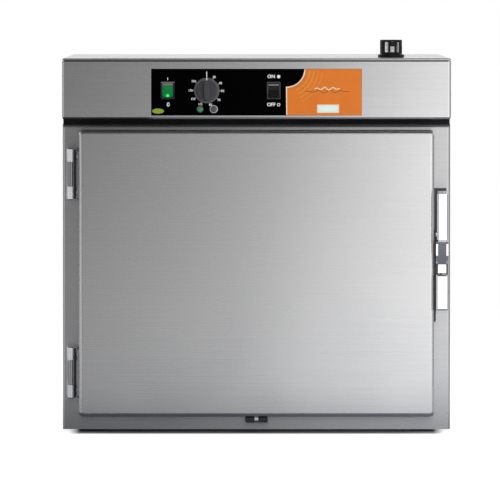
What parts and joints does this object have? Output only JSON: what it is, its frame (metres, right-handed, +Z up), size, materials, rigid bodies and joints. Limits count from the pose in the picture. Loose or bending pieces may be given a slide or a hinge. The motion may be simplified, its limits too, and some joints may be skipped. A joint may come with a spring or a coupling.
{
  "type": "food regeneration oven",
  "caption": "Countertop stainless cabinet oven with an insulated hinged door, pull latch, side racks, rear fan and heater, and a control head with dial, rockers, lamps and roof vent.",
  "frame": {"origin": "on the floor, under the middle of the whole oven's outline, latch lever and rear fittings included", "axes": "+X to the right as seen from the front, +Y to the back, +Z up; the door and controls face -Y"},
  "size_m": [0.7, 0.9, 0.7076],
  "materials": {
    "stainless": "satin",
    "polished_steel": "polished",
    "mineral_wool": "matte",
    "black_rubber": "matte",
    "black_plastic": "matte",
    "overlay_film": "satin",
    "green_plastic": "gloss",
    "clear_plastic": "gloss",
    "grey_plastic": "matte",
    "motor_iron": "satin",
    "fan_aluminium": "satin",
    "brass": "satin"
  },
  "bodies": {
    "cabinet": {"baffle_nuts": "stainless", "base_glides": "black_plastic", "base_panel": "stainless", "body_deck": "stainless", "cable_gland": "black_plastic", "casing_screws": "stainless", "chamber_liner": "stainless", "contactor": "grey_plastic", "control_overlay": "overlay_film", "cover_seal": "black_rubber", "door_rest": "black_plastic", "drain_pipe": "stainless", "fan_baffle": "stainless", "fan_motor": "motor_iron", "front_frame": "stainless", "head_fascia": "stainless", "head_floor": "stainless", "head_left_panel": "stainless", "head_rear_panel": "stainless", "head_right_panel": "stainless", "head_spacer": "black_plastic", "heater_ring": "stainless", "hinge_frame_leaves": "polished_steel", "hinge_pins": "polished_steel", "humidity_switch_housing": "black_plastic", "insulation_slabs": "mineral_wool", "latch_strike": "polished_steel", "left_side_panel": "stainless", "motor_bracket": "stainless", "pilot_lamp_clear": "clear_plastic", "pilot_lamp_green": "green_plastic", "power_switch_housing": "black_plastic", "rack_left": "stainless", "rack_right": "stainless", "rear_panel": "stainless", "right_side_panel": "stainless", "terminal_blocks": "grey_plastic", "thermostat": "black_plastic", "thermostat_sensor": "polished_steel", "top_cover": "stainless", "vent_base": "black_plastic", "vent_pipe": "stainless", "water_pipe": "stainless", "water_valve": "brass"},
    "door": {"door_skin": "stainless", "door_inner_sheet": "stainless", "door_insulation": "mineral_wool", "door_gasket": "black_rubber", "hinge_door_leaves": "polished_steel", "door_screws": "stainless", "latch_body": "polished_steel", "latch_pin": "stainless"},
    "latch_lever": {"latch_lever": "polished_steel"},
    "strike_roller": {"strike_roller": "polished_steel"},
    "door_rest_roller": {"door_rest_roller": "polished_steel"},
    "power_rocker": {"power_rocker": "green_plastic"},
    "humidity_rocker": {"humidity_rocker": "black_plastic"},
    "thermostat_knob": {"thermostat_knob": "black_plastic"},
    "vent_cap": {"vent_cap": "black_plastic"},
    "fan": {"fan_wheel": "fan_aluminium"}
  },
  "joints": [
    {"name": "door_hinge", "type": "hinge", "parent": "cabinet", "child": "door", "pos_m": [-0.335, -0.4, 0.287], "axis": [0, 0, -1], "range_deg": [0, 180]},
    {"name": "latch_pull", "type": "hinge", "parent": "door", "child": "latch_lever", "pos_m": [0.334, -0.42, 0.322], "axis": [1, 0, 0], "range_deg": [0, 35], "stiffness_Nm_per_rad": 0.8, "springref_deg": -22.92},
    {"name": "strike_roller_spin", "type": "hinge", "parent": "cabinet", "child": "strike_roller", "pos_m": [0.334, -0.384, 0.306], "axis": [1, 0, 0], "continuous": true},
    {"name": "door_rest_roller_spin", "type": "hinge", "parent": "cabinet", "child": "door_rest_roller", "pos_m": [0, -0.41, 0.0247], "axis": [1, 0, 0], "continuous": true},
    {"name": "power_switch", "type": "hinge", "parent": "cabinet", "child": "power_rocker", "pos_m": [-0.1598, -0.421, 0.617], "axis": [1, 0, 0], "range_deg": [0, 24]},
    {"name": "humidity_switch", "type": "hinge", "parent": "cabinet", "child": "humidity_rocker", "pos_m": [0.031, -0.421, 0.617], "axis": [1, 0, 0], "range_deg": [0, 24]},
    {"name": "thermostat_turn", "type": "hinge", "parent": "cabinet", "child": "thermostat_knob", "pos_m": [-0.0895, -0.4225, 0.617], "axis": [0, 1, 0], "range_deg": [0, 305]},
    {"name": "vent_turn", "type": "hinge", "parent": "cabinet", "child": "vent_cap", "pos_m": [0.244, -0.31, 0.6813], "axis": [0, 0, 1], "range_deg": [0, 90]},
    {"name": "fan_spin", "type": "hinge", "parent": "cabinet", "child": "fan", "pos_m": [0, 0.338, 0.288], "axis": [0, 1, 0], "continuous": true}
  ]
}
